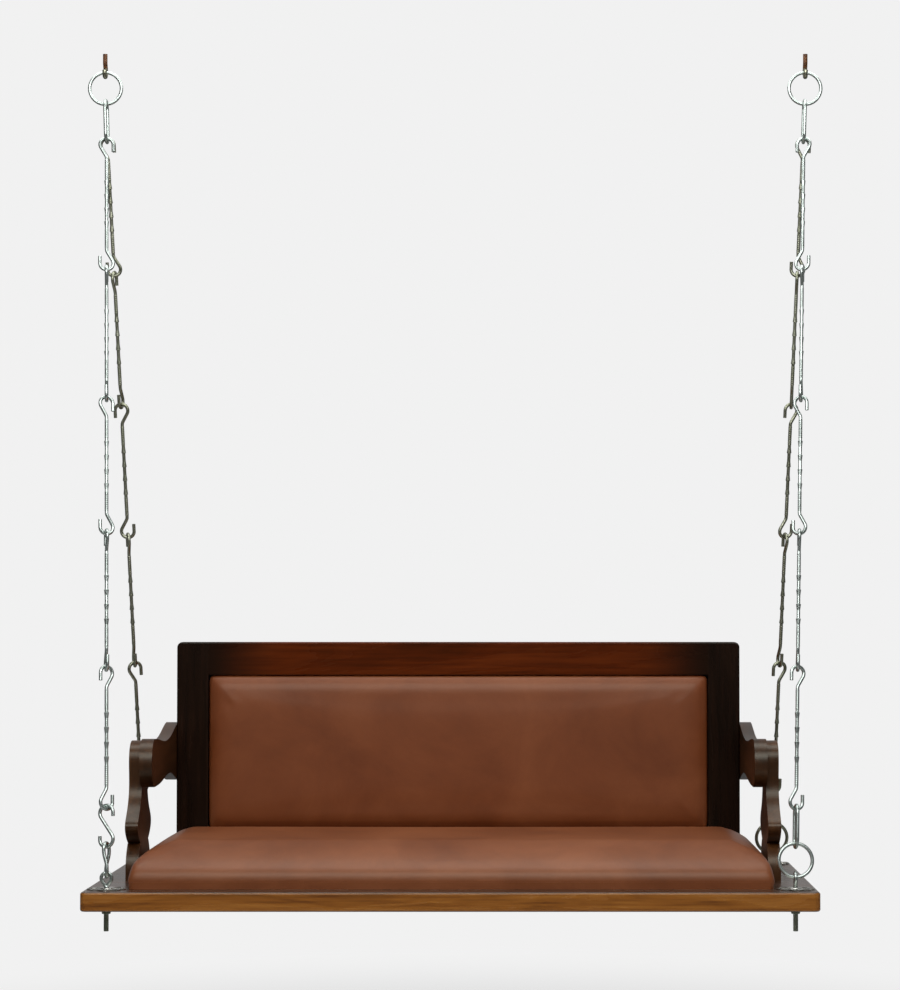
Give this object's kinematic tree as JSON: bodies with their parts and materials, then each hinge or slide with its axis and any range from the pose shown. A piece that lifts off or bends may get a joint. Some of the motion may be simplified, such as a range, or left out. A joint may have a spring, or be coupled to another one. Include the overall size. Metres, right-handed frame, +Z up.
{
  "type": "hanging swing bench",
  "caption": "Jhoola swing bench with padded seat and backrest and shaped armrests, hung on hooked steel rods, links and rings from two ceiling hooks.",
  "frame": {"origin": "midway between the two ceiling hook shanks, at their top ends", "axes": "+Z up, +X to the right as a person facing the seat sees it, +Y to the rear, towards the backrest"},
  "size_m": [1.2946, 0.6233, 1.5208],
  "materials": {
    "ceiling_hook": "matte",
    "rods": "satin",
    "rings_and_links": "gloss",
    "bolts_and_plates": "satin",
    "screws": "satin",
    "seat_board": "gloss",
    "cushion_base": "matte",
    "seat_cushion": "satin",
    "back_pad": "satin",
    "back_panel": "matte",
    "top_rail": "gloss",
    "back_frame": "gloss",
    "arms": "gloss"
  },
  "bodies": {
    "ceiling_hooks": {"left_ceiling_hook": "ceiling_hook", "right_ceiling_hook": "ceiling_hook"},
    "left_ring": {"left_top_ring": "rings_and_links"},
    "right_ring": {"right_top_ring": "rings_and_links"},
    "left_strings": {"left_top_link": "rings_and_links", "left_front_rod_1": "rods", "left_front_rod_2": "rods", "left_front_rod_3": "rods", "left_front_rod_4": "rods", "left_front_rod_5": "rods", "left_front_s_hook": "rings_and_links", "left_front_link": "rings_and_links", "left_rear_rod_1": "rods", "left_rear_rod_2": "rods", "left_rear_rod_3": "rods", "left_rear_rod_4": "rods", "left_rear_rod_5": "rods", "left_rear_s_hook": "rings_and_links", "left_rear_link": "rings_and_links"},
    "right_strings": {"right_top_link": "rings_and_links", "right_front_rod_1": "rods", "right_front_rod_2": "rods", "right_front_rod_3": "rods", "right_front_rod_4": "rods", "right_front_rod_5": "rods", "right_front_link": "rings_and_links", "right_front_ring": "rings_and_links", "right_rear_rod_1": "rods", "right_rear_rod_2": "rods", "right_rear_rod_3": "rods", "right_rear_rod_4": "rods", "right_rear_rod_5": "rods", "right_rear_link": "rings_and_links", "right_rear_ring": "rings_and_links"},
    "bench": {"left_front_eyebolt": "bolts_and_plates", "left_rear_eyebolt": "bolts_and_plates", "right_front_eyebolt": "bolts_and_plates", "right_rear_eyebolt": "bolts_and_plates", "rosette_plates": "bolts_and_plates", "eyebolt_washers": "bolts_and_plates", "eyebolt_nuts": "bolts_and_plates", "post_screws": "screws", "back_screws": "screws", "arm_screws": "screws", "seat_board": "seat_board", "cushion_base": "cushion_base", "seat_cushion": "seat_cushion", "back_top_rail": "top_rail", "back_bottom_rail": "back_frame", "back_left_stile": "back_frame", "back_right_stile": "back_frame", "back_panel": "back_panel", "back_pad": "back_pad", "left_armrest": "arms", "left_arm_post": "arms", "right_armrest": "arms", "right_arm_post": "arms"}
  },
  "joints": [
    {"name": "swing", "type": "hinge", "parent": "ceiling_hooks", "child": "left_ring", "pos_m": [-0.617, 0, -0.0327], "axis": [1, 0, 0], "range_deg": [-30, 30]},
    {"name": "right_ring_swing", "type": "hinge", "parent": "ceiling_hooks", "child": "right_ring", "pos_m": [0.617, 0, -0.0327], "axis": [1, 0, 0], "range_deg": [-30, 30]},
    {"name": "sway", "type": "hinge", "parent": "left_ring", "child": "left_strings", "pos_m": [-0.61564, -0.00182, -0.08235], "axis": [0, 0.9993, -0.0366], "range_deg": [-8, 8]},
    {"name": "bench_level", "type": "hinge", "parent": "left_strings", "child": "bench", "pos_m": [-0.5728, -0.05089, -1.42116], "axis": [0, 0.9993, -0.0366], "range_deg": [-8.7, 8.7]},
    {"name": "right_sway", "type": "hinge", "parent": "right_ring", "child": "right_strings", "pos_m": [0.61564, -0.00182, -0.08235], "axis": [0, 0.9993, -0.0366], "range_deg": [-8, 8]}
  ],
  "couplings": [
    {"joint": "right_ring_swing", "follows": "swing", "ratio": 1},
    {"joint": "bench_level", "follows": "sway", "ratio": -1.0748},
    {"joint": "right_sway", "follows": "sway", "ratio": 1}
  ]
}
